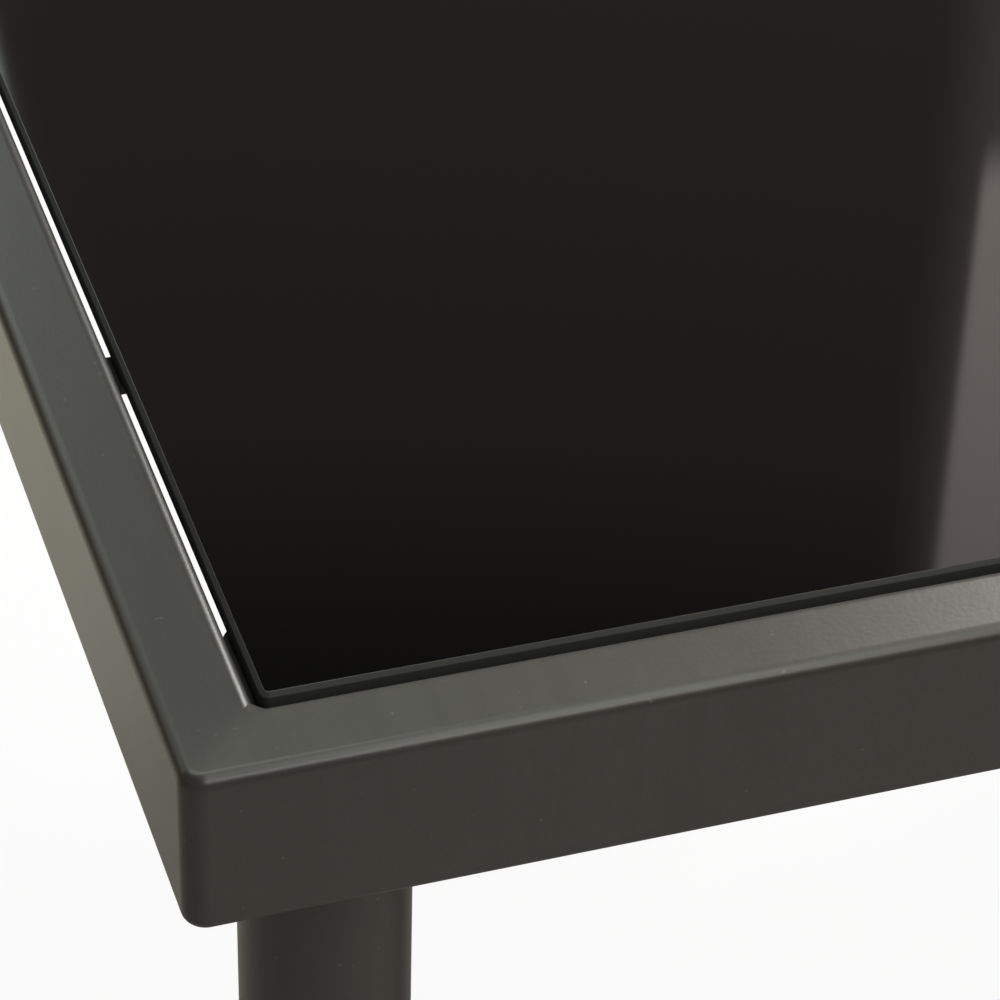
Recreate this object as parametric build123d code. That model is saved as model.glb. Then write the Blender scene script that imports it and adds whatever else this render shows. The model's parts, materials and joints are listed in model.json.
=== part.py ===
from build123d import *
import os
from math import sqrt

# A nest of three tables.  Each is a mitred frame of rectangular steel tube with a glass pane let
# into it, on four round tube legs.  The smaller tables slide under the larger along X.
# Millimetres.  +Z up, floor at Z = 0, X along the direction in which the tables slide apart,
# Y along the long sides of the tops.  The origin is the middle of the set's footprint.

# Large table
large_depth = 450.0  # along X
large_width = 650.0  # along Y
large_height = 500.0  # floor to glass

# How each smaller table fits under the one above it
side_clearance = 6.5  # between the smaller top and the legs on either side of it
top_clearance = 14.7  # between the smaller glass and the rails above it
depth_step = 40.0  # how much less deep each smaller table is
medium_pulled_out = 220.0  # front of the medium top ahead of the large one, as displayed
small_pulled_out = 200.0  # front of the small top ahead of the medium one, as displayed

# Frame tube
rail_height = 40.0
rail_width = 20.0
rail_wall = 1.5
rail_corner_radius = 3.0
corner_grinding = 2.0  # how much rounder than the tube's edges the frame's welded corners are, from above
least_inside_radius = 0.3

# Glass
glass_thickness = 6.0
glass_gap = 1.8  # between the pane and the rails
glass_proud = 0.3  # how far the pane stands above the rails
glass_corner_radius = 2.0
arris = 0.9  # ground edge along the top and bottom of the pane

# Rubber pads that the pane lies on
pad_thickness = 1.0
pad_radius = 4.0

# Steel plates over the legs, welded to the inner faces of the rails
plate_thickness = 4.0
head_plate_radius = 21.5

# Steel tabs between the legs, welded to the inner faces of the rails
tab_thickness = 2.5
tab_length = 12.0
tab_reach = 12.0
tab_corner_radius = 2.0
tab_setback = 151.5  # from a corner of the frame to the first tab along the long rail

# Legs
leg_radius = 19.0
leg_wall = 1.2
leg_clearance = 0.5  # between the leg and the rails beside it
insert_height = 12.0
inside_clearance = 0.1  # round what is pushed into the leg tube

# Countersunk screws that hold the legs up to the plates
screw_radius = 3.0
screw_head_radius = 6.0
screw_length = 16.0
screw_clearance = 0.1
socket_radius = 2.3
socket_depth = 1.8

# Feet
foot_height = 5.0
foot_edge_radius = 1.5
foot_spigot_height = 20.0
foot_spigot_wall = 2.5

frame_corner_radius = rail_corner_radius + corner_grinding
leg_inset = rail_width + leg_clearance + leg_radius
side_step = 2 * (leg_inset + leg_radius + side_clearance)
height_step = glass_proud + rail_height + top_clearance
set_depth = large_depth + medium_pulled_out + small_pulled_out
upright = (Align.CENTER, Align.CENTER, Align.MIN)
hanging = (Align.CENTER, Align.CENTER, Align.MAX)


class Table:
    """Sizes of one table of the nest, about its own middle."""

    def __init__(self, rank, front, tab_count):
        self.depth = large_depth - rank * depth_step
        self.width = large_width - rank * side_step
        self.height = large_height - rank * height_step
        self.middle_x = front - self.depth / 2
        self.rail_top = self.height - glass_proud
        self.opening_depth = self.depth - 2 * rail_width
        self.opening_width = self.width - 2 * rail_width
        self.glass_bottom = self.height - glass_thickness
        self.plate_top = self.glass_bottom - pad_thickness
        self.leg_top = self.plate_top - plate_thickness
        self.tabs_along_y = self.spread(tab_count)

    def spread(self, count):
        """Places along Y of the tabs on a long rail: one in the middle, or a row between setbacks."""
        if count == 1:
            return [0]
        first = tab_setback - self.width / 2
        return [first - 2 * first * i / (count - 1) for i in range(count)]

    def corners(self):
        """Signs of the four corners, with the names of the legs there."""
        return {"near_left": (-1, -1), "near_right": (1, -1), "far_left": (-1, 1), "far_right": (1, 1)}

    def leg_place(self, signs):
        """Middle of the leg at one corner."""
        return signs[0] * (self.depth / 2 - leg_inset), signs[1] * (self.width / 2 - leg_inset)

    def at_legs(self, z, solid):
        """The same solid at each of the four legs."""
        places = [self.leg_place(signs) for signs in self.corners().values()]
        return [Pos(x, y, z) * solid for x, y in places]


def group(solids):
    """Separate solids kept together in one node."""
    return Compound(children=solids)


def frame_outline(length, across, radius):
    """A block as high as the rails, with its upright edges rounded as the frame's corners are."""
    return extrude(RectangleRounded(length, across, radius), amount=rail_height)


def rail(table, along_x, side):
    """One mitred length of frame tube: side is -1 or 1 for the near or far, left or right rail."""
    length = table.depth if along_x else table.width
    across = table.width if along_x else table.depth
    inside_radius = max(rail_corner_radius - rail_wall, least_inside_radius)
    section = RectangleRounded(rail_width, rail_height, rail_corner_radius)
    section += Pos(-rail_width / 4, 0) * Rectangle(rail_width / 2, rail_height)
    bore_section = RectangleRounded(rail_width - 2 * rail_wall, rail_height - 2 * rail_wall, inside_radius)
    lengths = [extrude(Plane.YZ * face, amount=length / 2, both=True) for face in (section, bore_section)]
    bar, bore = [Pos(0, (rail_width - across) / 2, rail_height / 2) * solid for solid in lengths]
    # the rounding of the outer edges runs on round the frame's corners, with an even wall inside it
    outside = frame_outline(length, across, frame_corner_radius)
    flat_faces = outside.faces().filter_by(Axis.Z)
    bar &= fillet(flat_faces.edges(), rail_corner_radius)
    bore_radius = max(frame_corner_radius - rail_wall, least_inside_radius)
    bore &= frame_outline(length - 2 * rail_wall, across - 2 * rail_wall, bore_radius)
    reach = length / 2 - rail_width
    mitred = Polyline(
        (-length / 2, -across / 2),
        (length / 2, -across / 2),
        (reach, rail_width - across / 2),
        (-reach, rail_width - across / 2),
        close=True,
    )
    bar = (bar - bore) & extrude(make_face(mitred), amount=rail_height)
    turn = {(True, -1): 0, (True, 1): 180, (False, -1): -90, (False, 1): 90}
    return Pos(0, 0, table.rail_top - rail_height) * Rot(0, 0, turn[along_x, side]) * bar


def glass(table):
    """The pane, with ground corners and arrised edges."""
    depth = table.opening_depth - 2 * glass_gap
    width = table.opening_width - 2 * glass_gap
    pane = extrude(RectangleRounded(depth, width, glass_corner_radius), amount=glass_thickness)
    flat_faces = pane.faces().filter_by(Axis.Z)
    pane = chamfer(flat_faces.edges(), arris)
    return Pos(0, 0, table.glass_bottom) * pane


def tab_places(table):
    """Middle of each tab's welded end on the inner face of its rail, and the turn that faces it in."""
    places = []
    for side in (-1, 1):
        for y in table.tabs_along_y:
            places.append((side * table.opening_depth / 2, y, 90 * (1 + side)))
        places.append((0, side * table.opening_width / 2, -90 * side))
    return places


def tabs(table):
    """Short flat tabs that carry the pane between the legs."""
    tab = Box(tab_reach, tab_length, tab_thickness, align=(Align.MIN, Align.CENTER, Align.MAX))
    free_corners = tab.edges().filter_by(Axis.Z).group_by(Axis.X)[-1]
    tab = fillet(free_corners, tab_corner_radius)
    return group([Pos(x, y, table.plate_top) * Rot(0, 0, turn) * tab for x, y, turn in tab_places(table)])


def head_plates(table):
    """Round plates over the legs, cut flat where they are welded to the rails."""
    plate = Cylinder(head_plate_radius, plate_thickness, align=hanging)
    plate -= screw_space()
    opening = Box(table.opening_depth, table.opening_width, table.height, align=upright)
    return group([placed & opening for placed in table.at_legs(table.plate_top, plate)])


def pads(table):
    """Round rubber pads under the pane: one on each tab and one on each head plate."""
    pad = Cylinder(pad_radius, pad_thickness, align=upright)
    solids = []
    for x, y, turn in tab_places(table):
        on_tab = Pos((glass_gap + tab_reach) / 2, 0, 0)
        solids.append(Pos(x, y, table.plate_top) * Rot(0, 0, turn) * on_tab * pad)
    inward = (screw_head_radius + head_plate_radius) / 2 / sqrt(2)
    for signs in table.corners().values():
        x, y = table.leg_place(signs)
        solids.append(Pos(x - signs[0] * inward, y - signs[1] * inward, table.plate_top) * pad)
    return group(solids)


def leg(table, signs):
    """One round tube leg, from its foot up to the head plate."""
    length = table.leg_top - foot_height
    tube = Cylinder(leg_radius, length, align=upright)
    tube -= Cylinder(leg_radius - leg_wall, length, align=upright)
    x, y = table.leg_place(signs)
    return Pos(x, y, foot_height) * tube


def leg_inserts(table):
    """Threaded steel discs fixed in the tops of the leg tubes."""
    disc = Cylinder(leg_radius - leg_wall - inside_clearance, insert_height, align=hanging)
    disc -= Cylinder(screw_radius + screw_clearance, insert_height, align=hanging)
    return group(table.at_legs(table.leg_top, disc))


def countersunk(radius, head_radius, length):
    """A shank with a 90 degree head, hanging from the level of the head's top."""
    head = Cone(radius, head_radius, head_radius - radius, align=hanging)
    return head + Cylinder(radius, length, align=hanging)


def screw_space():
    """The countersunk hole that a leg screw passes through."""
    return countersunk(screw_radius + screw_clearance, screw_head_radius + screw_clearance, plate_thickness)


def leg_screws(table):
    """Countersunk socket screws, down through the head plates into the inserts."""
    screw = countersunk(screw_radius, screw_head_radius, screw_length)
    screw -= extrude(RegularPolygon(socket_radius, 6), amount=-socket_depth)
    return group(table.at_legs(table.plate_top, screw))


def feet(table):
    """Moulded caps: a round sole under each leg, with a hollow spigot up inside the tube."""
    sole = Cylinder(leg_radius, foot_height, align=upright)
    sole = fillet(sole.edges().group_by(Axis.Z)[0], foot_edge_radius)
    spigot_radius = leg_radius - leg_wall - inside_clearance
    spigot = Cylinder(spigot_radius, foot_spigot_height, align=upright)
    spigot -= Cylinder(spigot_radius - foot_spigot_wall, foot_spigot_height, align=upright)
    return group(table.at_legs(0, sole + Pos(0, 0, foot_height) * spigot))


def pieces(table):
    """Every piece of one table, by name."""
    made = {
        "near_rail": rail(table, True, -1),
        "far_rail": rail(table, True, 1),
        "left_rail": rail(table, False, -1),
        "right_rail": rail(table, False, 1),
        "glass": glass(table),
        "glass_tabs": tabs(table),
        "glass_pads": pads(table),
        "head_plates": head_plates(table),
        "leg_inserts": leg_inserts(table),
        "leg_screws": leg_screws(table),
        "feet": feet(table),
    }
    for corner, signs in table.corners().items():
        made["leg_" + corner] = leg(table, signs)
    return made


large_front = large_depth - set_depth / 2
medium_front = large_front + medium_pulled_out
small_front = medium_front + small_pulled_out
nest = {
    "large": Table(0, large_front, 3),
    "medium": Table(1, medium_front, 2),
    "small": Table(2, small_front, 1),
}

os.makedirs("parts", exist_ok=True)
for table_name, table in nest.items():
    for piece_name, piece in pieces(table).items():
        export_step(Pos(table.middle_x, 0, 0) * piece, f"parts/{table_name}_{piece_name}.step")
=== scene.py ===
import json
import bpy
import numpy as np
from mathutils import Matrix, Vector


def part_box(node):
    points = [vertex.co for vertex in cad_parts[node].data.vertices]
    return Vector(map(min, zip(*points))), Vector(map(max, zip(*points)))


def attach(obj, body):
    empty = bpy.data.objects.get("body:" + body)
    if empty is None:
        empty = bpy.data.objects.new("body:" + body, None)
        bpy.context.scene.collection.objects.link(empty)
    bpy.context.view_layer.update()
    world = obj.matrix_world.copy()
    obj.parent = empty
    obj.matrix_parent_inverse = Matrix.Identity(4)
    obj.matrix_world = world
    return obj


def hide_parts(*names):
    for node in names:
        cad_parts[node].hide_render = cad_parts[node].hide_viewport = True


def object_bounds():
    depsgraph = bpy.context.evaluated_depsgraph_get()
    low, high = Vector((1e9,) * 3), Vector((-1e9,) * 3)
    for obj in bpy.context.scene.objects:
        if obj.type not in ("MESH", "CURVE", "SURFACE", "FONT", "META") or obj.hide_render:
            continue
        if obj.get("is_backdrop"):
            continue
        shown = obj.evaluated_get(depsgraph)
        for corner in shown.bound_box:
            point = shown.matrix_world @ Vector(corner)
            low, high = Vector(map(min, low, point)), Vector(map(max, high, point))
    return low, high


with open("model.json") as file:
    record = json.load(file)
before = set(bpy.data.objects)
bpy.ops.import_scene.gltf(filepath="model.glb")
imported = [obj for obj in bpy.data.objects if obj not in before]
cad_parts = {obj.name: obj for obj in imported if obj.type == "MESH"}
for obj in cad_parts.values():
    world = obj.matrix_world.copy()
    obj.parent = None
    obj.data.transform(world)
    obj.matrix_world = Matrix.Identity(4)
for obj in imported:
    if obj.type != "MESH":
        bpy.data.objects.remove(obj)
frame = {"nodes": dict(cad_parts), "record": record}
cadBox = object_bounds()
tables = ("large", "medium", "small")
print("frame loaded:", len(frame["nodes"]), "nodes")


def gridFaces(rows, columns, closeRows=False, closeColumns=False):
    # quads between neighbouring points of a rows x columns grid, wrapped round where a direction is closed
    i = np.arange(rows if closeRows else rows - 1)
    j = np.arange(columns if closeColumns else columns - 1)
    i, j = np.meshgrid(i, j, indexing="ij")
    nextI = (i + 1) % rows
    nextJ = (j + 1) % columns
    quads = np.stack([i * columns + j, nextI * columns + j, nextI * columns + nextJ, i * columns + nextJ], -1)
    return quads.reshape(-1, 4)


def signedVolume(points, quads):
    # sum over each quad's two triangles of the box product of their corners, over six
    a, b, c, d = (points[quads[:, k]] for k in range(4))
    boxes = np.einsum("ij,ij->i", a, np.cross(b, c)) + np.einsum("ij,ij->i", a, np.cross(c, d))
    return boxes.sum() / 6


def makePiece(name, points, quads, body, finish, values=None, caps=(), flatFrom=None):
    # values are numbers for each point, by name; quads from flatFrom on and the caps are shaded flat
    points = points.reshape(-1, 3)
    turned = signedVolume(points - points.mean(0), quads) < 0
    faces = quads[:, ::-1].tolist() if turned else quads.tolist()
    faces += [(cap[::-1] if turned else cap).tolist() for cap in caps]
    mesh = bpy.data.meshes.new(name)
    mesh.from_pydata(points.tolist(), [], faces)
    smooth = np.arange(len(faces)) < (len(quads) if flatFrom is None else flatFrom)
    mesh.polygons.foreach_set("use_smooth", smooth)
    for key, value in (values or {}).items():
        layer = mesh.attributes.new(key, "FLOAT", "POINT")
        layer.data.foreach_set("value", np.asarray(value, np.float32).reshape(-1))
    mesh.materials.append(finish)
    piece = bpy.data.objects.new(name, mesh)
    bpy.context.scene.collection.objects.link(piece)
    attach(piece, body)
    return piece


railForm = {
    "edgeRadius": 0.003,
    "wall": 0.0015,
    "cornerRadius": 0.005,  # from above, where the outer end of each mitre is ground round
    "weldRadius": 0.0028,  # from above, the weld left in the corners of the opening
    "weldFlat": 0.85,  # how far that weld is a straight slope and not a hollow arc
    "weldReach": 0.006,  # how far from the opening the weld starts to round the corner
    "arcSteps": 8,
    "hold": 0.00015,  # extra row beside each arc, which keeps the flats flat
    "leastRadius": 0.0002,  # what is left of each corner's radius further in
    "mitreTurn": 0.01,  # radians from the mitre to the first point of a corner's arc
    "fade": 0.004,  # from the mitre to where the painted shade on each rail's top is full or gone
}


def tubeSection(width, height, radius, steps, hold):
    # closed outline of a rounded rectangle: four quarter circles of the radius, each with one more
    # point a small hold away on both flats; gives the inset from the outer face, the drop from the
    # top, and how much each point belongs to a rounded edge
    turn = np.linspace(0, np.pi / 2, steps + 1)
    insets, drops, edges = [], [], []
    farU, farV = width - radius, height - radius
    middles = [(radius, radius), (farU, radius), (farU, farV), (radius, farV)]
    for quarter, (u, v) in enumerate(middles):
        angle = turn + np.pi + quarter * np.pi / 2
        arcU, arcV = u + radius * np.cos(angle), v + radius * np.sin(angle)
        first, last = angle[0] - np.pi / 2, angle[-1] + np.pi / 2
        arcU = np.r_[arcU[0] + hold * np.cos(first), arcU, arcU[-1] + hold * np.cos(last)]
        arcV = np.r_[arcV[0] + hold * np.sin(first), arcV, arcV[-1] + hold * np.sin(last)]
        insets.append(arcU)
        drops.append(arcV)
        edges.append(np.r_[0, np.sin(2 * turn), 0])
    return np.concatenate(insets), np.concatenate(drops), np.concatenate(edges)


def railSkin(halfLength, halfAcross, top, inset, drop, width):
    # the section carried along one side of a rounded rectangle, from mitre to mitre: at an inset u the
    # corner is an eighth of a circle of radius cornerRadius - u, which is next to nothing further in and
    # turns into the weld's slope at the opening; a circle's point lies (1 - sin, 1 - cos) of the radius
    # from the corner's two sides, a straight slope's (half + half s, half - half s)
    form = railForm
    slope = np.clip(1 - (width - inset) / form["weldReach"], 0, 1)[:, None]
    ground = np.clip(form["cornerRadius"] - inset, 0, None)[:, None]
    radius = ground + form["weldRadius"] * slope + form["leastRadius"]
    turn = np.r_[np.pi / 4, np.linspace(np.pi / 4 - form["mitreTurn"], 0, form["arcSteps"] + 1)][None, :]
    s = 1 - turn / (np.pi / 4)
    flat = form["weldFlat"] * slope
    along = (1 - np.sin(turn)) * (1 - flat) + (0.5 + 0.5 * s) * flat
    aside = (1 - np.cos(turn)) * (1 - flat) + (0.5 - 0.5 * s) * flat
    straight = radius + np.array([[form["hold"], form["fade"]]])
    along = inset[:, None] + np.concatenate([radius * along, straight], 1)
    aside = inset[:, None] + np.concatenate([radius * aside, 0 * straight], 1)
    past = np.clip((along - aside) / form["fade"], 0, 1)
    x = np.concatenate([along - halfLength, (halfLength - along)[:, ::-1]], 1)
    y = np.concatenate([aside, aside[:, ::-1]], 1) - halfAcross
    z = np.broadcast_to(top - drop[:, None], x.shape)
    return np.stack([x, y, z], -1), np.concatenate([past, past[:, ::-1]], 1)


def nodeBox(node):
    low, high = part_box(node)
    return np.array(low), np.array(high)


def buildRails(table, finish):
    # the section's outer and inner outlines carried along each rail, turned a quarter round for the
    # next, and joined by quads at both mitres
    low, high = nodeBox(table + "_left_rail")
    width, height = high[0] - low[0], high[2] - low[2]
    nearLow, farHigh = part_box(table + "_near_rail")[0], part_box(table + "_far_rail")[1]
    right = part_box(table + "_right_rail")[1]
    halfX, halfY = (right[0] - low[0]) / 2, (farHigh[1] - nearLow[1]) / 2
    middle = np.array([(right[0] + low[0]) / 2, (farHigh[1] + nearLow[1]) / 2, 0])
    form = railForm
    inset, drop, edge = tubeSection(width, height, form["edgeRadius"], form["arcSteps"], form["hold"])
    wall = form["wall"]
    boreInset, boreDrop, _ = tubeSection(
        width - 2 * wall, height - 2 * wall, form["edgeRadius"] - wall, form["arcSteps"], form["hold"]
    )
    turns = {"near": 0, "right": 1, "far": 2, "left": 3}
    for name, quarter in turns.items():
        crosswise = quarter % 2 == 1
        halfLength, halfAcross = (halfY, halfX) if crosswise else (halfX, halfY)
        outer, past = railSkin(halfLength, halfAcross, high[2], inset, drop, width)
        bore, _ = railSkin(halfLength, halfAcross, high[2], boreInset + wall, boreDrop + wall, width)
        rows, columns = outer.shape[:2]
        count = rows * columns
        outerQuads = gridFaces(rows, columns, closeRows=True)
        boreQuads = gridFaces(rows, columns, closeRows=True)[:, ::-1] + count
        i = np.arange(rows)
        nextI = (i + 1) % rows
        start = np.stack([i * columns, i * columns + count, nextI * columns + count, nextI * columns], -1)
        end = (start + columns - 1)[:, ::-1]
        quads = np.concatenate([outerQuads, boreQuads, start, end])
        points = np.concatenate([outer.reshape(-1, 3), bore.reshape(-1, 3)])
        cos, sin = [(1, 0), (0, 1), (-1, 0), (0, -1)][quarter]
        points = points @ np.array([[cos, sin, 0], [-sin, cos, 0], [0, 0, 1]]) + middle
        # painted shade: 1 on the tops of the left and right rails, nothing on the others', half of it at the
        # mitres; it darkens those tops, which catch less light than the near and far rails' tops
        onTop = np.clip(1 - drop / form["edgeRadius"], 0, 1)[:, None]
        paintedShade = onTop * (0.5 + 0.5 * past if crosswise else 0.5 - 0.5 * past)
        values = {
            # rounded edges lighter, partly as worn paint and partly as painted highlight
            "wearAndSheen": np.concatenate([np.repeat(edge, columns), np.zeros(count)]),
            "paintedShade": np.concatenate([paintedShade.reshape(-1), np.zeros(count)]),
        }
        piece = makePiece(
            f"{table}.{name}.tube", points, quads, table + "_table", finish, values,
            flatFrom=len(outerQuads) + len(boreQuads),
        )
        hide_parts(f"{table}_{name}_rail")


def softened(line, radius, hold):
    # an open line with each corner P eased: P - a r, P + (b - a) r / 4 and P + b r, where a and b are
    # the directions in and out, with one more point a hold further out on both sides
    line = np.array(line)
    ahead = np.diff(line, axis=0)
    ahead /= np.linalg.norm(ahead, axis=1)[:, None]
    eased = [line[:1]]
    for place, a, b in zip(line[1:-1], ahead[:-1], ahead[1:]):
        out = radius + hold
        eased.append(np.array([place - a * out, place - a * radius, place + (b - a) * radius / 4]))
        eased.append(np.array([place + b * radius, place + b * out]))
    return np.concatenate(eased + [line[-1:]])


paneForm = {
    "arris": 0.0009,
    "cornerRadius": 0.002,
    "ease": 0.00012,  # how far the sharp lines between the ground faces are eased
    "hold": 0.00004,
    "margin": 0.003,  # of the flat faces that the edge's surface takes along
    "leastRadius": 0.0002,  # of the corners of the lines further in
    "arcSteps": 6,
}


def buildPane(table, finish):
    # the edge's profile carried round a rounded rectangle whose corner radius shrinks with the inset,
    # closed above and below by one flat face each
    low, high = nodeBox(table + "_glass")
    form = paneForm
    thick, margin = high[2] - low[2], form["arris"] + form["margin"]
    line = [(margin, 0), (form["arris"], 0), (0, form["arris"])]
    line += [(u, thick - v) for u, v in line[::-1]]
    inset, drop = softened(line, form["ease"], form["hold"]).T
    radius = np.clip(form["cornerRadius"] - inset, form["leastRadius"], None)[:, None]
    turn = np.linspace(0, np.pi / 2, form["arcSteps"] + 1)
    angle = np.concatenate([turn + quarter * np.pi / 2 for quarter in range(4)])[None, :]
    diagonal = angle.reshape(4, -1).mean(1)
    signX, signY = (np.repeat(np.sign(side(diagonal)), len(turn))[None, :] for side in (np.cos, np.sin))
    half = (high - low) / 2
    x = signX * (half[0] - inset[:, None] - radius) + radius * np.cos(angle)
    y = signY * (half[1] - inset[:, None] - radius) + radius * np.sin(angle)
    z = np.broadcast_to(half[2] - drop[:, None], x.shape)
    rows, columns = x.shape
    points = np.stack([x, y, z], -1) + (high + low) / 2
    quads = gridFaces(rows, columns, closeColumns=True)
    top, bottom = np.arange(columns), (np.arange(columns) + (rows - 1) * columns)[::-1]
    ground = (inset < form["arris"] + form["ease"] / 2).astype(float)
    # the caps turn the same way as the quads beside them
    piece = makePiece(
        table + ".pane", points, quads, table + "_table", finish,
        {"ground": np.repeat(ground, columns)}, [top, bottom],
    )
    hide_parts(table + "_glass")


legForm = {"wall": 0.0012, "ease": 0.0003, "hold": 0.0002, "steps": 96}
footForm = {
    "edgeRadius": 0.0015,
    "seamEase": 0.0004,  # where the sole meets the tube
    "spigotGap": 0.0001,
    "spigotWall": 0.0025,
    "spigotHeight": 0.02,
    "pole": 0.0005,  # radius of the flat face that closes each end
    "hold": 0.0002,
    "edgeSteps": 8,
    "steps": 64,
}
legCorners = ("near_left", "near_right", "far_left", "far_right")


def turnedSkin(profile, steps):
    # a profile of radii and heights turned about the upright axis: (r cos a, r sin a, z)
    angle = np.linspace(0, 2 * np.pi, steps, endpoint=False)[None, :]
    radius, height = profile[:, :1], profile[:, 1:]
    return np.stack([radius * np.cos(angle), radius * np.sin(angle), height + 0 * angle], -1)


def legAxis(low, high):
    # the point on the floor below the middle of a leg's box
    return np.array([(low[0] + high[0]) / 2, (low[1] + high[1]) / 2, 0])


def buildLegs(table, finish):
    # the wall's section, a rectangle with eased ends, turned about the leg's axis
    form = legForm
    for corner in legCorners:
        low, high = nodeBox(f"{table}_leg_{corner}")
        outside = (high[0] - low[0]) / 2
        inside, middleHeight = outside - form["wall"], (low[2] + high[2]) / 2
        line = [(inside, middleHeight), (inside, low[2]), (outside, low[2]), (outside, high[2])]
        line += [(inside, high[2]), (inside, middleHeight)]
        profile = softened(line, form["ease"], form["hold"])[:-1]
        points = turnedSkin(profile, form["steps"]) + legAxis(low, high)
        quads = gridFaces(len(profile), form["steps"], closeRows=True, closeColumns=True)
        name = corner.replace("_", ".")
        piece = makePiece(f"{table}.{name}.leg", points, quads, table + "_table", finish)
        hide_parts(f"{table}_leg_{corner}")


def buildFeet(table, finish):
    # the outline of half a cap, from the middle of its sole round to the floor of its hollow spigot,
    # turned about each leg's axis
    form = footForm
    low, high = nodeBox(f"{table}_leg_{legCorners[0]}")
    outside, top = (high[0] - low[0]) / 2, low[2]
    spigot = outside - legForm["wall"] - form["spigotGap"]
    hollow, end = spigot - form["spigotWall"], top + form["spigotHeight"]
    edge, seam = form["edgeRadius"], form["seamEase"]
    turn = np.linspace(-np.pi / 2, 0, form["edgeSteps"] + 1)
    edgeArc = [(outside - edge + edge * np.cos(a), edge + edge * np.sin(a)) for a in turn]
    line = [(form["pole"], 0), (outside - edge - form["hold"], 0), *edgeArc, (outside, top - seam)]
    line += [(outside - seam, top), (spigot, top), (spigot, end)]
    line += [(hollow, end), (hollow, top), (form["pole"], top)]
    skin = turnedSkin(np.array(line), form["steps"])
    rows, columns = skin.shape[:2]
    points, quads, caps = [], [], []
    for number, corner in enumerate(legCorners):
        first = number * rows * columns
        points.append(skin + legAxis(*nodeBox(f"{table}_leg_{corner}")))
        quads.append(gridFaces(rows, columns, closeColumns=True) + first)
        caps.append(np.arange(columns) + first)
        caps.append((np.arange(columns) + first + (rows - 1) * columns)[::-1])
    piece = makePiece(
        table + ".feet.caps", np.concatenate(points), np.concatenate(quads), table + "_table",
        finish, caps=caps,
    )
    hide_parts(table + "_feet")


weldForm = {
    "size": 0.002,
    "ripple": 0.12,
    "pitch": 0.0011,
    "blunt": 8,  # the even power that tapers the ends: the higher, the blunter
    "end": 0.001,  # share of the length left off at each end, where the bead would come to a point
    "rows": 25,
    "columns": 7,
    "nearness": 0.00003,  # of a solid's points to the rail's face that it stands against
}


def contactLines(table, node):
    # ends of the straight lower edges where a node's solids stand against the rails' inner faces, with
    # the direction away from the rail
    mesh = frame["nodes"][node].data
    places = np.empty(len(mesh.vertices) * 3)
    mesh.vertices.foreach_get("co", places)
    places = places.reshape(-1, 3)
    bottom = places[:, 2].min()
    faces = [(0, 1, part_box(table + "_left_rail")[1].x), (0, -1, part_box(table + "_right_rail")[0].x)]
    faces += [(1, 1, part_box(table + "_near_rail")[1].y), (1, -1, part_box(table + "_far_rail")[0].y)]
    nearness = weldForm["nearness"]
    for axis, sign, level in faces:
        on = (abs(places[:, axis] - level) < nearness) & (places[:, 2] < bottom + nearness)
        # to a hundredth of a millimetre, so that a point that several facets share counts once
        for start, end in np.unique(places[on, 1 - axis].round(5)).reshape(-1, 2):
            away = np.zeros(3)
            away[axis] = sign
            first, last = np.full(3, bottom), np.full(3, bottom)
            first[axis] = last[axis] = level
            first[1 - axis], last[1 - axis] = start, end
            yield first, last, away


def buildTabWelds(table, finish):
    # a quarter round bead in the corner below each tab, t going from 0 to 1 along it: its radius is the
    # size times sqrt(1 - (2t - 1)^blunt), which tapers both ends, times
    # 1 + ripple sin(2 pi t length / pitch)
    form = weldForm
    t = np.linspace(form["end"], 1 - form["end"], form["rows"])[:, None, None]
    angle = np.linspace(0, np.pi / 2, form["columns"])[None, :, None]
    points, quads, caps = [], [], []
    for first, last, away in contactLines(table, table + "_glass_tabs"):
        length = np.linalg.norm(last - first)
        ripple = 1 + form["ripple"] * np.sin(2 * np.pi * t * length / form["pitch"])
        radius = form["size"] * np.sqrt(1 - (2 * t - 1) ** form["blunt"]) * ripple
        spine = first + (last - first) * t
        curve = spine + radius * (np.cos(angle) * away - np.sin(angle) * np.array([0, 0, 1]))
        bead = np.concatenate([curve, spine], 1)
        rows, columns = bead.shape[:2]
        start = len(points) * rows * columns
        points.append(bead)
        quads.append(gridFaces(rows, columns, closeColumns=True) + start)
        caps.append(np.arange(columns) + start)
        caps.append((np.arange(columns) + start + (rows - 1) * columns)[::-1])
    makePiece(
        table + ".tabWelds", np.concatenate(points), np.concatenate(quads), table + "_table",
        finish, caps=caps,
    )


class Wire:
    # a socket that can be used in sums: each operator adds one Math node
    def __init__(self, finish, socket):
        self.finish = finish
        self.socket = socket

    def math(self, operation, *values):
        return self.finish.node("ShaderNodeMath", {"operation": operation}, values)

    def __add__(self, other):
        return self.math("ADD", self, other)

    def __sub__(self, other):
        return self.math("SUBTRACT", self, other)

    def __rsub__(self, other):
        return self.math("SUBTRACT", other, self)

    def __mul__(self, other):
        return self.math("MULTIPLY", self, other)

    __radd__ = __add__
    __rmul__ = __mul__


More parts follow.
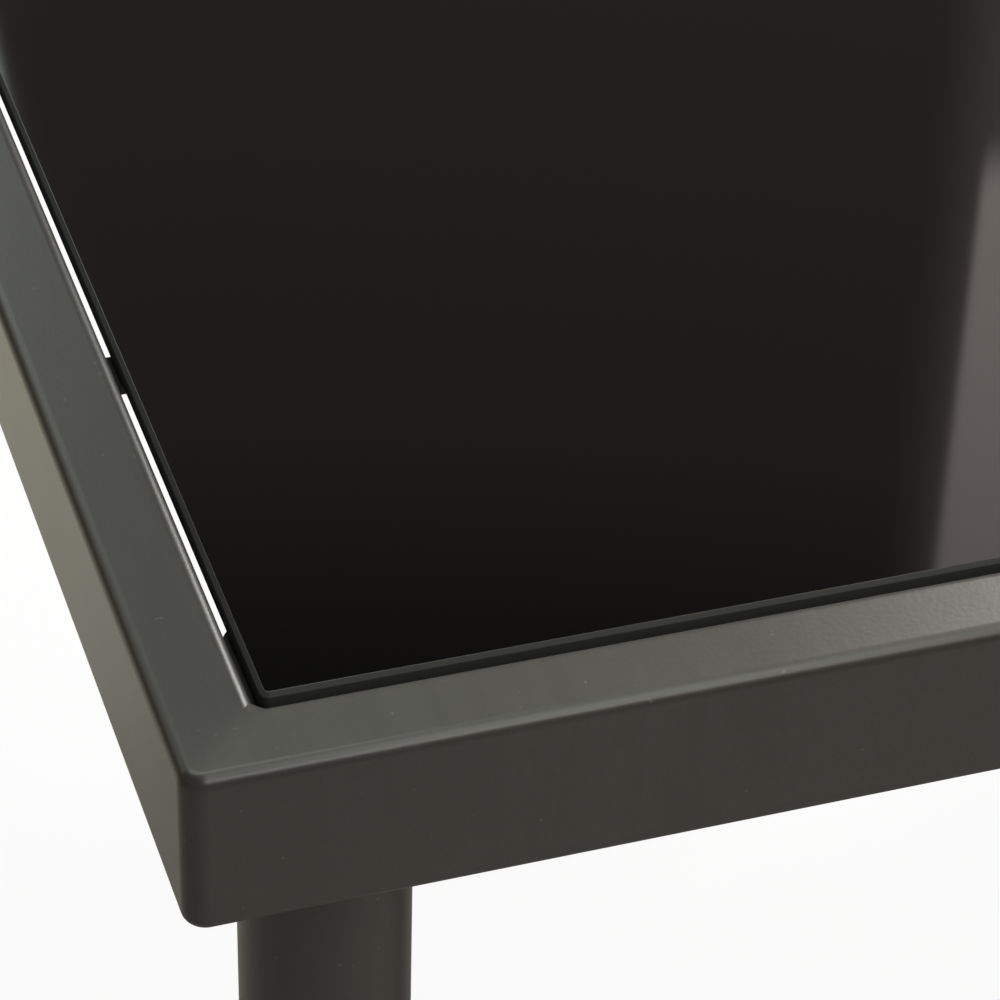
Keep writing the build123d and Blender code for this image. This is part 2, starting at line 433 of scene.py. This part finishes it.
class Finish:
    # one node material: node() adds any node, sets it up and links it
    def __init__(self, name, owner=None):
        self.material = owner or bpy.data.materials.new(name)
        self.material.use_nodes = True
        self.tree = self.material.node_tree
        self.tree.nodes.clear()

    def node(self, kind, settings=None, values=None, output=0):
        made = self.tree.nodes.new(kind)
        for key, value in (settings or {}).items():
            setattr(made, key, value)
        pairs = values.items() if isinstance(values, dict) else enumerate(values or [])
        for key, value in pairs:
            if isinstance(value, Wire):
                self.tree.links.new(value.socket, made.inputs[key])
            else:
                made.inputs[key].default_value = value
        return Wire(self, made.outputs[output] if made.outputs else None)

    def place(self):
        return self.node("ShaderNodeTexCoord", output="Object")

    def attribute(self, name):
        return self.node("ShaderNodeAttribute", {"attribute_name": name}, output="Fac")

    def stretched(self, scale):
        return self.node("ShaderNodeMapping", values={"Vector": self.place(), "Scale": scale})

    def noise(self, vector, scale, detail):
        return self.node("ShaderNodeTexNoise", values={"Vector": vector, "Scale": scale, "Detail": detail})

    def between(self, value, low, high, fromLow=0.0, fromHigh=1.0):
        # smoothly from low to high while the value goes from fromLow to fromHigh
        values = {"Value": value, "From Min": fromLow, "From Max": fromHigh, "To Min": low, "To Max": high}
        return self.node("ShaderNodeMapRange", {"interpolation_type": "SMOOTHSTEP"}, values)

    def blend(self, factor, first, second):
        # sockets 6 and 7 are the node's two colours, and output 2 is the colour that it gives
        values = {"Factor": factor, 6: first, 7: second}
        return self.node("ShaderNodeMix", {"data_type": "RGBA", "blend_type": "MIX"}, values, output=2)

    def bump(self, height, strength, distance):
        values = {"Strength": strength, "Distance": distance, "Height": height}
        return self.node("ShaderNodeBump", values=values)

    def surface(self, values):
        shader = self.node("ShaderNodeBsdfPrincipled", values=values)
        self.node("ShaderNodeOutputMaterial", values={"Surface": shader})
        return self.material


def linear(red, green, blue):
    # screen values 0 to 255, by the sRGB curve, to the linear colour that a socket takes
    share = np.array([red, green, blue]) / 255
    return (*np.where(share > 0.04045, ((share + 0.055) / 1.055) ** 2.4, share / 12.92).tolist(), 1.0)


coatLook = {
    "colour": linear(57, 55, 51),
    "pale": linear(70, 70, 67),
    "speckColour": linear(118, 117, 113),
    "grain": 0.0011,  # metres from one mark of each pattern to the next
    "streak": (0.0045, 0.05, 0.05),
    "speck": 0.0016,
    "cloudScale": 14.0,  # soft patches to the metre
    "cloudEdges": (0.3, 0.7),
    "cloudTone": 0.2,  # how far the patches turn the colour to the pale one, and, as the next three
    "grainTone": 0.5,  # say, the grain, the streaks and the rounded edges, which are lighter partly as worn paint and partly as painted highlight
    "streakTone": 0.3,
    "wearAndSheenTone": 0.3,
    "speckEdges": (0.82, 0.88),
    "speckTone": 0.4,  # how far a speck turns it to the specks' colour
    "paintedShadeShare": 0.4,  # painted shade: how far the tops of the left and right rails are turned to black, since they catch less light
    "roughness": 0.30,
    "streakRoughness": 0.008,
    "streakEdges": (0.3, 0.7),
    "grainRoughness": 0.02,
    "grainStrength": 0.2,
    "grainDepth": 0.00012,
}


def powderCoat():
    look = coatLook
    finish = Finish("powderCoat")
    place = finish.place()
    grain = finish.noise(place, 1 / look["grain"], detail=2.0)
    streak = finish.noise(finish.stretched([1 / size for size in look["streak"]]), 1.0, detail=2.0)
    specks = finish.noise(place, 1 / look["speck"], detail=0.0)
    clouds = finish.noise(place, look["cloudScale"], detail=3.0)
    wearAndSheen = finish.attribute("wearAndSheen")
    paintedShade = finish.attribute("paintedShade")
    tone = finish.between(clouds, 0.0, look["cloudTone"], *look["cloudEdges"]) + grain * look["grainTone"]
    # rounded edges lighter: partly worn paint, partly painted highlight
    tone = tone + streak * look["streakTone"] + wearAndSheen * look["wearAndSheenTone"]
    speckled = finish.between(specks, 0.0, look["speckTone"], *look["speckEdges"])
    colour = finish.blend(tone, look["colour"], look["pale"])
    colour = finish.blend(speckled, colour, look["speckColour"])
    # painted shade: the tops of the left and right rails turned towards black
    colour = finish.blend(paintedShade * look["paintedShadeShare"], colour, (0.0, 0.0, 0.0, 1.0))
    uneven = finish.between(streak, -look["streakRoughness"], look["streakRoughness"], *look["streakEdges"])
    return finish.surface({
        "Base Color": colour,
        "Roughness": uneven + grain * look["grainRoughness"] + look["roughness"],
        "Normal": finish.bump(grain, look["grainStrength"], look["grainDepth"]),
    })


paneLook = {
    "colour": linear(9, 9, 9),
    "roughness": (0.03, 0.06),  # where the glass is cleanest and where it is most smudged
    "smudgeScale": 9.0,  # smudges to the metre
    "refraction": 1.52,
    "ground": linear(52, 54, 52),  # of the ground edge, as the next three
    "groundRoughness": 0.7,
    "grindingScale": 1500.0,
    "grindingRoughness": 0.1,
}


def blackGlass():
    look = paneLook
    finish = Finish("blackGlass")
    place = finish.place()
    smudge = finish.noise(place, look["smudgeScale"], detail=4.0)
    grinding = finish.noise(place, look["grindingScale"], detail=2.0)
    ground = finish.attribute("ground")
    polished = finish.between(smudge, *look["roughness"])
    matt = grinding * look["grindingRoughness"] + look["groundRoughness"]
    return finish.surface({
        "Base Color": finish.blend(ground, look["colour"], look["ground"]),
        "Roughness": polished * (1 - ground) + ground * matt,
        "IOR": look["refraction"],
    })


smallPartLook = {
    "grain": 0.0008,  # metres from one mark to the next
    "shade": 0.6,  # of the colour, in the grain's darkest marks
    "shadeShare": 0.4,
    "uneven": 0.06,  # how far the roughness goes either way
    "strength": 0.3,
    "depth": 0.0001,
}


def plain(name, colour, roughness, metallic=0.0):
    look = smallPartLook
    finish = Finish(name)
    grain = finish.noise(finish.place(), 1 / look["grain"], detail=2.0)
    shade = tuple(look["shade"] * c for c in colour[:3]) + (1.0,)
    return finish.surface({
        "Base Color": finish.blend(grain * look["shadeShare"], colour, shade),
        "Roughness": finish.between(grain, roughness - look["uneven"], roughness + look["uneven"]),
        "Metallic": metallic,
        "Normal": finish.bump(grain, look["strength"], look["depth"]),
    })


coat = powderCoat()
glassFinish = blackGlass()
finishes = {
    "frame_powder_coat": coat,
    "black_glass": glassFinish,
    "pad_rubber": plain("padRubber", linear(34, 34, 34), 0.75),
    "insert_steel": plain("insertSteel", linear(165, 164, 160), 0.4, 1.0),
    "screw_steel": plain("screwSteel", linear(150, 149, 146), 0.38, 1.0),
    "foot_plastic": plain("footPlastic", linear(30, 30, 30), 0.55),
}
for part in frame["record"]["subparts"]:
    # the finish of each node's slot; it shows on the plates, tabs, pads, inserts and screws, whose
    # shapes are kept
    node = frame["nodes"][part["node"]]
    node.data.materials.clear()
    node.data.materials.append(finishes[part["material_slot"]])
print("materials made")

for table in tables:
    buildRails(table, coat)
    buildPane(table, glassFinish)
    buildLegs(table, coat)
    buildFeet(table, finishes["foot_plastic"])
    buildTabWelds(table, coat)
print("rails, panes, legs, feet and welds made")


# the studio: apart from the floor's own size and height, places are in metres from the large table's
# near left top corner
cameraForm = {
    "place": (-0.1183, -0.5250, 0.4646),
    "yaw": 19.07,  # degrees from +Y towards +X
    "pitch": 36.35,  # degrees down
    "roll": -1.77,
    "lens": 131.6,  # millimetres, as the sensor
    "sensor": 36,
    "farthest": 100,  # metres that the camera sees
}
panels = {
    # azimuth from +Y towards +X and elevation, both in degrees, level, colour, and for some their size
    "backLeft": (-40, 28, 0.7, (1, 0.92, 0.72)),
    "back": (-10, 28, 1.6, (0.89, 1, 0.95)),
    "backRightLow": (52, 6, 1.9, (1, 1, 0.8), (1.2, 0.5)),
    "backRight": (57, 28, 15.5, (1, 1, 0.96), (1.4, 0.8)),
    "front": (150, 28, 0.95, (1, 0.74, 0.58)),
    "backHigh": (-5, 60, 3.0, (0.95, 1, 0.94)),
    "rightHigh": (70, 55, 1.5, (1, 0.85, 0.7)),
    "frontHigh": (162, 45, 4.6, (1, 1, 0.95), (0.8, 0.8)),
    "top": (95, 76, 2.2, (0.95, 1, 0.94)),
    "frontTop": (140, 64, 4.6, (0.97, 1, 0.94), (0.6, 0.6)),
}
panelForm = {"aim": (0.15, 0.1, 0), "distance": 2.0, "size": (0.95, 0.72)}
screen = {
    "behind": 0.8,
    "across": (0.40, 1.375),
    "up": (0.15, 0.91),
    "border": (0.572, 0.578),  # across, where the bright part starts
    "foot": (0.40, 0.44),  # up, the same
    "level": (1.43, 1.0),  # of the bright part, at its foot and at its top
    "halo": 0.3,  # level of the faint part
    "haloBorder": (0.54, 0.60),  # across, where the faint part starts
    "colour": (1.0, 0.89, 0.83, 1),
}
floorForm = {
    "half": 6.0,  # metres from its middle to its sides
    "seen": 0.93,  # share of the floor, seen straight or through something clear, that is plain white
    "mirrored": 0.5,  # share of it in glossy reflections that shines in its own colour, which is
    "dim": (0.12, 0.11, 0.08, 1),  # this one, and
    "lit": (0.78, 0.71, 0.46, 1),  # this one behind and to the left
    "litWithin": (("X", (0.3, 0.0)), ("Y", (0.3, 1.0))),  # where that starts and where it is full
    "paper": (0.8, 0.8, 0.79, 1),
}
sky = {
    "wall": 0.13,  # level, as the ceiling's
    "ceiling": 0.02,
    "wallTop": 0.57,  # sine of the height above the horizon, as the ceiling's start
    "ceilingStart": 0.64,
    "colour": (1, 0.84, 0.79, 1),
}


def nearCorner():
    # where the outer faces of the near and left rails would meet, at the top
    near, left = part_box("large_near_rail"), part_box("large_left_rail")
    return Vector((left[0].x, near[0].y, near[1].z))


def placeCamera():
    # right, ahead and down follow from yaw and pitch, and the roll turns right and down about ahead
    yaw, pitch, roll = (np.radians(cameraForm[key]) for key in ("yaw", "pitch", "roll"))
    right = np.array([np.cos(yaw), -np.sin(yaw), 0])
    ahead = np.array([np.sin(yaw) * np.cos(pitch), np.cos(yaw) * np.cos(pitch), -np.sin(pitch)])
    down = -np.cross(right, ahead)
    across = right * np.cos(roll) + down * np.sin(roll)
    below = -right * np.sin(roll) + down * np.cos(roll)
    data = bpy.data.cameras.new("camera")
    data.lens = cameraForm["lens"]
    data.sensor_width = cameraForm["sensor"]
    data.clip_end = cameraForm["farthest"]
    camera = bpy.data.objects.new("camera", data)
    turn = Matrix(np.array([across, -below, -ahead]).T.tolist()).to_4x4()
    camera.matrix_world = Matrix.Translation(nearCorner() + Vector(cameraForm["place"])) @ turn
    bpy.context.scene.collection.objects.link(camera)
    bpy.context.scene.camera = camera


def addPanel(name, place, aim, size, level, colour):
    # an area lamp whose face shines at the given level, at which 1 is a white screen
    data = bpy.data.lights.new(name, "AREA")
    data.shape = "RECTANGLE"
    data.size, data.size_y = size
    data.energy = level * np.pi * data.size * data.size_y
    data.color = colour
    away = Vector(place) - Vector(aim)
    panel = bpy.data.objects.new(name, data)
    turn = away.to_track_quat("Z", "Y").to_matrix().to_4x4()
    panel.matrix_world = Matrix.Translation(nearCorner() + Vector(place)) @ turn
    bpy.context.scene.collection.objects.link(panel)


def addPanels():
    # the panels stand on a sphere about the point they aim at
    aim = Vector(panelForm["aim"])
    for name, (azimuth, elevation, level, colour, *ownSize) in panels.items():
        turn, rise = np.radians(azimuth), np.radians(elevation)
        away = Vector((np.sin(turn) * np.cos(rise), np.cos(turn) * np.cos(rise), np.sin(rise)))
        size = ownSize[0] if ownSize else panelForm["size"]
        addPanel(name, aim + away * panelForm["distance"], aim, size, level, colour)


def addSheet(name, outline, material):
    mesh = bpy.data.meshes.new(name)
    mesh.from_pydata(outline, [], [(0, 1, 2, 3)])
    mesh.materials.append(material)
    sheet = bpy.data.objects.new(name, mesh)
    bpy.context.scene.collection.objects.link(sheet)
    sheet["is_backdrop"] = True
    return sheet


def addScreen():
    # a clear sheet that stands behind the table, out of the camera's sight, and shines: brightly from
    # its border and its foot on, with a faint halo beside them
    finish = Finish("screenLight")
    near = nearCorner()
    across = finish.node("ShaderNodeSeparateXYZ", values=[finish.place()], output="X") - near.x
    up = finish.node("ShaderNodeSeparateXYZ", values=[finish.place()], output="Z") - near.z
    bright = finish.between(across, 0.0, 1.0, *screen["border"])
    bright = bright * finish.between(up, 0.0, 1.0, *screen["foot"])
    low, high = screen["level"]
    level = bright * finish.between(up, low, high, screen["foot"][1], screen["up"][1])
    halo = finish.between(across, 0.0, screen["halo"], *screen["haloBorder"]) * (1 - bright)
    shine = finish.node("ShaderNodeEmission", values={"Color": screen["colour"], "Strength": level + halo})
    clear = finish.node("ShaderNodeBsdfTransparent")
    both = finish.node("ShaderNodeAddShader", values=[shine, clear])
    finish.node("ShaderNodeOutputMaterial", values={"Surface": both})
    left, right = (near.x + x for x in screen["across"])
    bottom, top = (near.z + z for z in screen["up"])
    y = near.y + screen["behind"]
    outline = [(left, y, bottom), (right, y, bottom), (right, y, top), (left, y, top)]
    addSheet("screen", outline, finish.material).visible_camera = False


def shareWithin(finish, borders):
    # each border leads from 0 to 1 between two distances from the near corner along one axis, and the
    # shares multiply
    share = 1.0
    for axis, border in borders:
        along = finish.node("ShaderNodeSeparateXYZ", values=[finish.place()], output=axis)
        start, full = (getattr(nearCorner(), axis.lower()) + metres for metres in border)
        share = finish.between(along, 0.0, 1.0, start, full) * share
    return share


def addFloor():
    form = floorForm
    finish = Finish("floorPaper")
    direct = finish.node("ShaderNodeLightPath", output="Is Camera Ray")
    through = finish.node("ShaderNodeLightPath", output="Is Transmission Ray")
    mirrored = finish.node("ShaderNodeLightPath", output="Is Glossy Ray")
    lit = shareWithin(finish, form["litWithin"])
    glow = finish.blend(mirrored, (1, 1, 1, 1), finish.blend(lit, form["dim"], form["lit"]))
    paper = finish.node("ShaderNodeBsdfDiffuse", values={"Color": form["paper"]})
    white = finish.node("ShaderNodeEmission", values={"Color": glow, "Strength": 1.0})
    shining = (direct + through) * form["seen"] + mirrored * form["mirrored"]
    mixed = finish.node("ShaderNodeMixShader", values=[shining, paper, white])
    finish.node("ShaderNodeOutputMaterial", values={"Surface": mixed})
    half = form["half"]
    outline = [(-half, -half, 0), (half, -half, 0), (half, half, 0), (-half, half, 0)]
    addSheet("floor", outline, finish.material)


def setWorld():
    # a dim warm wall up to a height, a darker ceiling above it, and plain white where the camera looks
    world = bpy.data.worlds.new("studio")
    bpy.context.scene.world = world
    finish = Finish("studio", world)
    direction = finish.node("ShaderNodeTexCoord", output="Generated")
    height = finish.node("ShaderNodeSeparateXYZ", values=[direction], output="Z")
    level = finish.between(height, sky["wall"], sky["ceiling"], sky["wallTop"], sky["ceilingStart"])
    rays = finish.node("ShaderNodeLightPath", output="Is Camera Ray")
    colour = finish.blend(rays, sky["colour"], (1, 1, 1, 1))
    strength = level + rays * (1 - level)
    back = finish.node("ShaderNodeBackground", values={"Color": colour, "Strength": strength})
    finish.node("ShaderNodeOutputWorld", values={"Surface": back})


placeCamera()
addPanels()
addScreen()
addFloor()
setWorld()
bpy.context.scene.view_settings.view_transform = "Standard"
print("studio set")

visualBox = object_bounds()
boxes = {"cad": cadBox, "visual": visualBox}
{name: [list(map(float, corner)) for corner in box] for name, box in boxes.items()}
